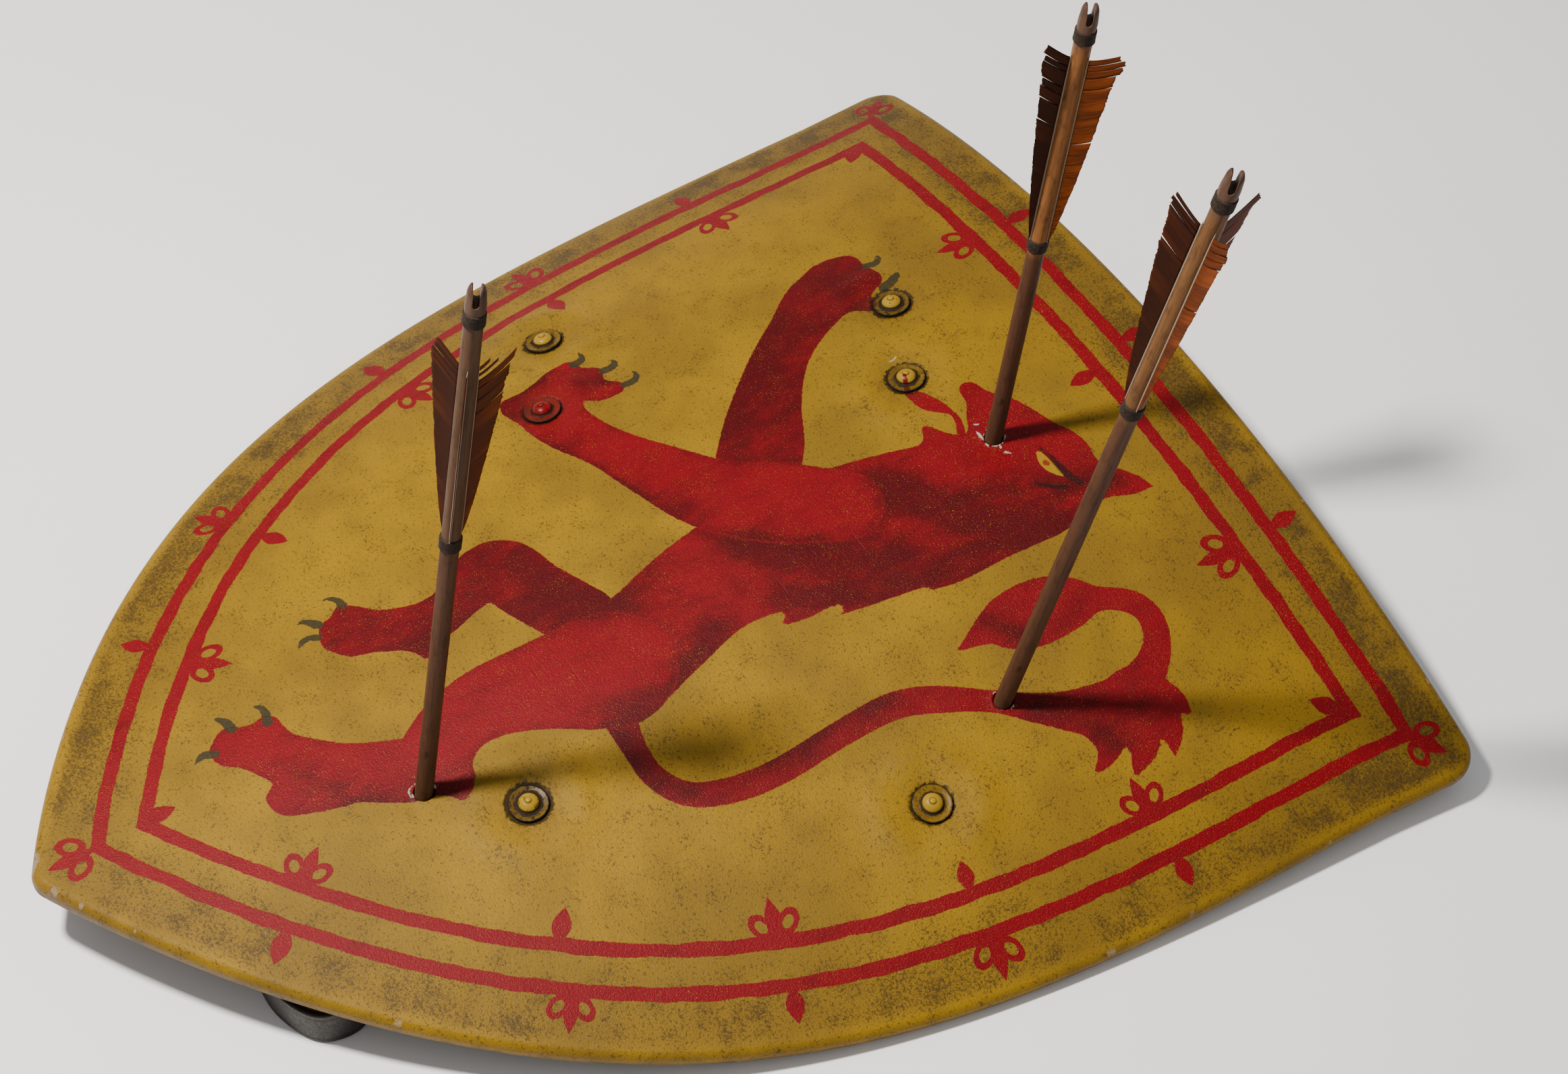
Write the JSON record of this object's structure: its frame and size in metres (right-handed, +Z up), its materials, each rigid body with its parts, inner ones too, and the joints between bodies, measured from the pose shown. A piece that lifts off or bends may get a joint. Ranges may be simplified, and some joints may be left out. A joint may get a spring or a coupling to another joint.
{
  "type": "heater shield",
  "caption": "Bent wooden heater shield covered in painted hide, lying face up, with rivets, straps behind and arrows through it.",
  "frame": {"origin": "centre of the part's footprint, on the ground it lies on", "axes": "+Y from the tip to the top edge, +X to the right of a viewer who sees the painted face upright, +Z up, out of the painted face"},
  "size_m": [0.6056, 0.691, 0.4416],
  "materials": {
    "painted_hide": "satin oil paint, worn",
    "board_wood": "plain",
    "strap_leather": "waxed",
    "painted_iron": "satin, dirty",
    "bare_iron": "dull",
    "shaft_wood": "stained",
    "feather": "matte",
    "thread": "waxed thread"
  },
  "bodies": {
    "root": {"shield_board": "board_wood", "painted_cover": "painted_hide", "elbow_strap": "strap_leather", "hand_strap": "strap_leather", "elbow_rivet_upper": "painted_iron", "elbow_rivet_upper_washer": "painted_iron", "elbow_rivet_upper_burr": "bare_iron", "elbow_rivet_lower": "painted_iron", "elbow_rivet_lower_washer": "painted_iron", "elbow_rivet_lower_burr": "bare_iron", "hand_rivet_upper": "painted_iron", "hand_rivet_upper_washer": "painted_iron", "hand_rivet_upper_burr": "bare_iron", "hand_rivet_lower": "painted_iron", "hand_rivet_lower_washer": "painted_iron", "hand_rivet_lower_burr": "bare_iron", "neck_rivet_lower": "painted_iron", "neck_rivet_lower_washer": "painted_iron", "neck_rivet_lower_burr": "bare_iron", "neck_rivet_upper": "painted_iron", "neck_rivet_upper_washer": "painted_iron", "neck_rivet_upper_burr": "bare_iron", "upper_arrow_shaft": "shaft_wood", "upper_arrow_front_binding": "thread", "upper_arrow_rear_binding": "thread", "upper_arrow_head": "bare_iron", "upper_arrow_feather_1": "feather", "upper_arrow_feather_2": "feather", "upper_arrow_feather_3": "feather", "lower_arrow_shaft": "shaft_wood", "lower_arrow_front_binding": "thread", "lower_arrow_rear_binding": "thread", "lower_arrow_head": "bare_iron", "lower_arrow_feather_1": "feather", "lower_arrow_feather_2": "feather", "lower_arrow_feather_3": "feather", "tip_arrow_shaft": "shaft_wood", "tip_arrow_front_binding": "thread", "tip_arrow_rear_binding": "thread", "tip_arrow_head": "bare_iron", "tip_arrow_feather_1": "feather", "tip_arrow_feather_2": "feather", "tip_arrow_feather_3": "feather", "neck_strap": "strap_leather"}
  },
  "joints": []
}
